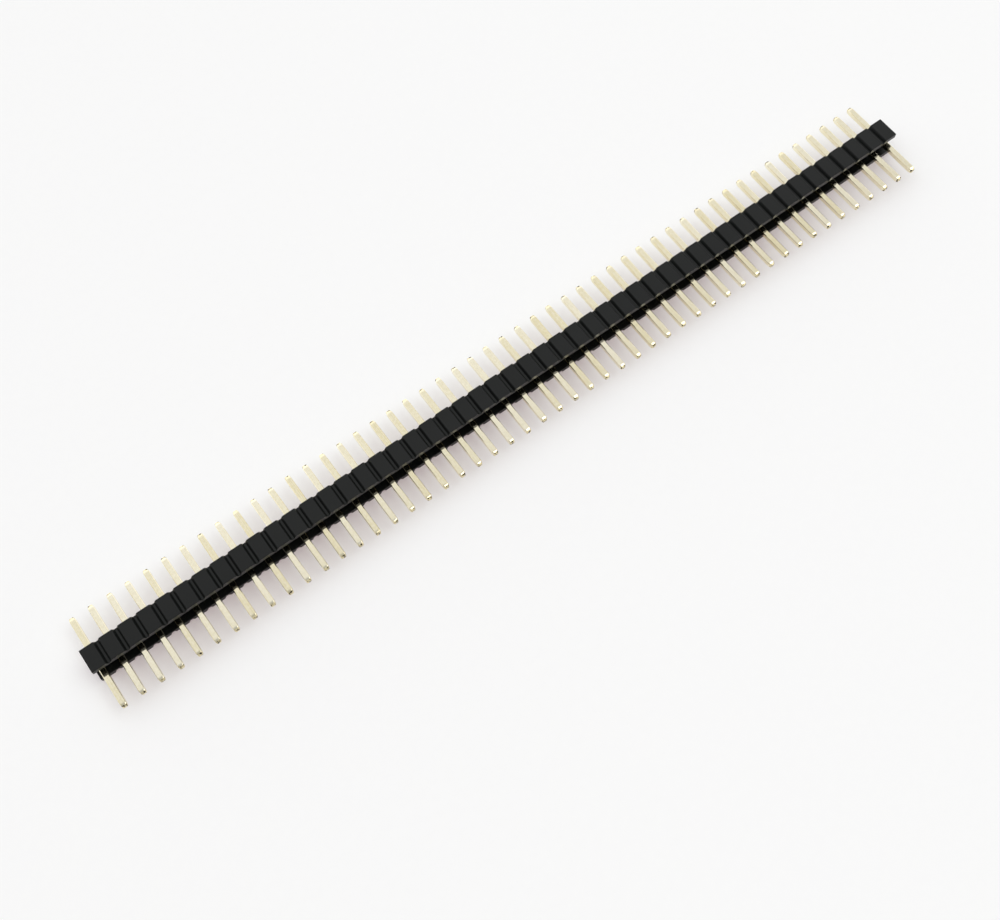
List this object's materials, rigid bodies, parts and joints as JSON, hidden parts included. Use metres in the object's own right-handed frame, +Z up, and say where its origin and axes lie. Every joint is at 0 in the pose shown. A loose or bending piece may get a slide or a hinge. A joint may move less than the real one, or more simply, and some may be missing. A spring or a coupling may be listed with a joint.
{
  "type": "pin header strip",
  "caption": "Straight single-row pin header strip: a notched black insulator, channelled along its solder side, holds square gold-flashed pins on a fine pitch.",
  "frame": {"origin": "under the middle of the strip, on the surface that its broad side lies on", "axes": "+X along the row of pins, from the first pin to the last; +Y along the pins, from the solder tails to the mating ends; +Z up through the strip's thickness"},
  "size_m": [0.0632, 0.0066, 0.0021],
  "materials": {
    "insulator": "satin black moulded glass-filled thermoplastic",
    "pins": "thin gold flash over nickel on drawn square brass wire, with bare sheared ends"
  },
  "bodies": {
    "root": {"insulator": "insulator", "pin_01": "pins", "pin_02": "pins", "pin_03": "pins", "pin_04": "pins", "pin_05": "pins", "pin_06": "pins", "pin_07": "pins", "pin_08": "pins", "pin_09": "pins", "pin_10": "pins", "pin_11": "pins", "pin_12": "pins", "pin_13": "pins", "pin_14": "pins", "pin_15": "pins", "pin_16": "pins", "pin_17": "pins", "pin_18": "pins", "pin_19": "pins", "pin_20": "pins", "pin_21": "pins", "pin_22": "pins", "pin_23": "pins", "pin_24": "pins", "pin_25": "pins", "pin_26": "pins", "pin_27": "pins", "pin_28": "pins", "pin_29": "pins", "pin_30": "pins", "pin_31": "pins", "pin_32": "pins", "pin_33": "pins", "pin_34": "pins", "pin_35": "pins", "pin_36": "pins", "pin_37": "pins", "pin_38": "pins", "pin_39": "pins", "pin_40": "pins", "pin_41": "pins", "pin_42": "pins", "pin_43": "pins", "pin_44": "pins", "pin_45": "pins", "pin_46": "pins", "pin_47": "pins", "pin_48": "pins", "pin_49": "pins", "pin_50": "pins"}
  },
  "joints": []
}
